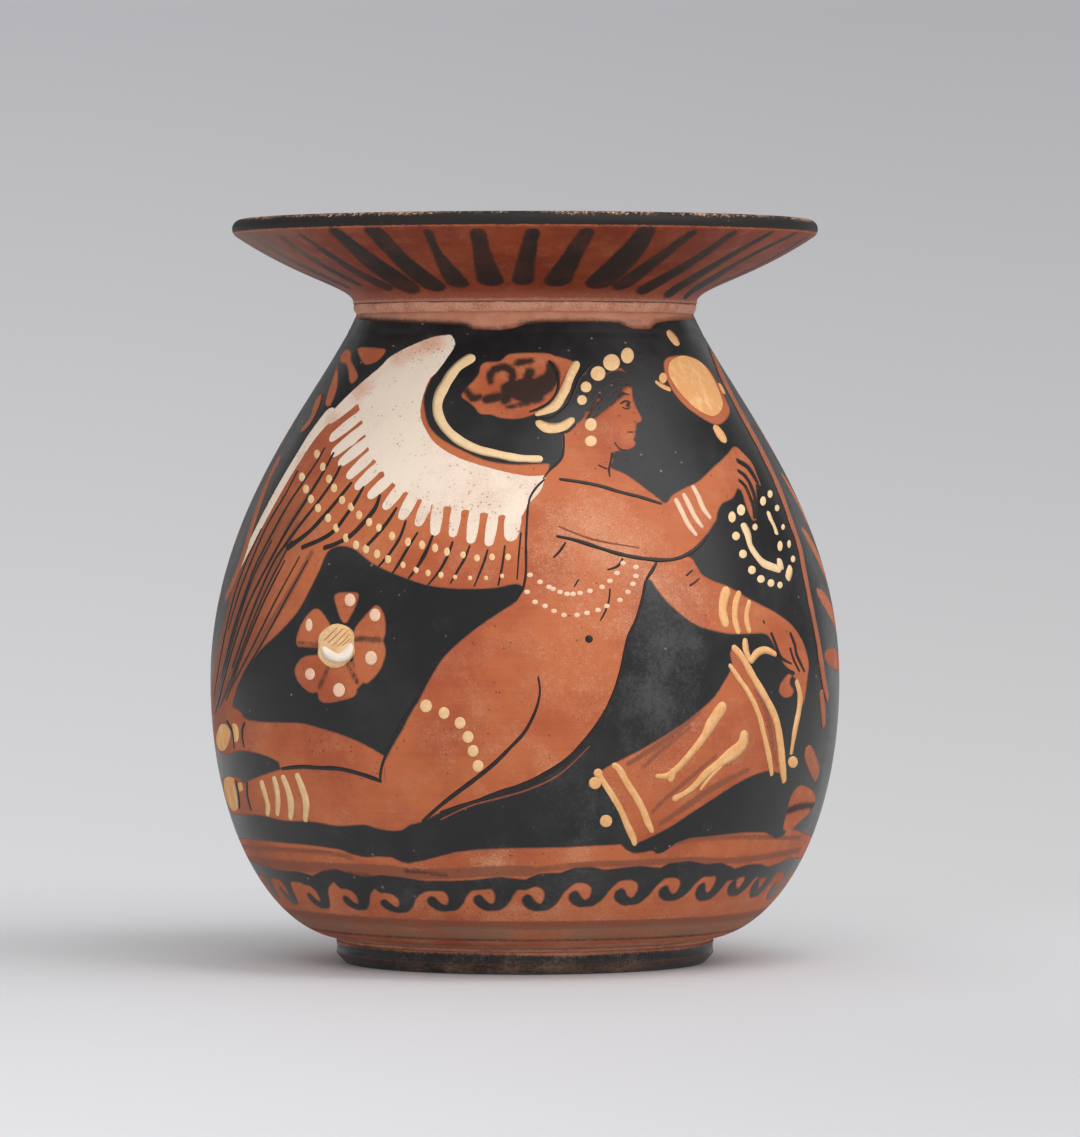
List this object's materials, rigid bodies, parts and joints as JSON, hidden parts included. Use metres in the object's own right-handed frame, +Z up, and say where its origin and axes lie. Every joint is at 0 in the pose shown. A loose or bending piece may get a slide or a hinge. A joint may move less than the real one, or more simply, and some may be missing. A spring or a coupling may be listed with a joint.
{
  "type": "oinochoe",
  "caption": "Pear-shaped wine jug of fired clay with a flared trumpet mouth, low ring foot and knotted back handle, painted in the red-figure manner.",
  "frame": {"origin": "on the surface that the foot rests on, under the middle of the whole jug with its handle; the jug's own axis of turning stands 9.2 mm in front of it, towards -Y", "axes": "+Z up along the axis of turning, -Y towards the painted front, +Y towards the handle, +X to the right of a viewer who faces the front"},
  "size_m": [0.1442, 0.1626, 0.17],
  "materials": {
    "black_gloss": "satin gloss",
    "fired_clay": "matt"
  },
  "bodies": {
    "root": {"body": "black_gloss", "neck_luting": "fired_clay", "mouth": "fired_clay", "foot_luting": "fired_clay", "foot": "fired_clay", "handle_upper_loop": "black_gloss", "handle_lower_loop": "black_gloss", "handle_upper_pad": "black_gloss", "handle_lower_pad": "black_gloss"}
  },
  "joints": []
}
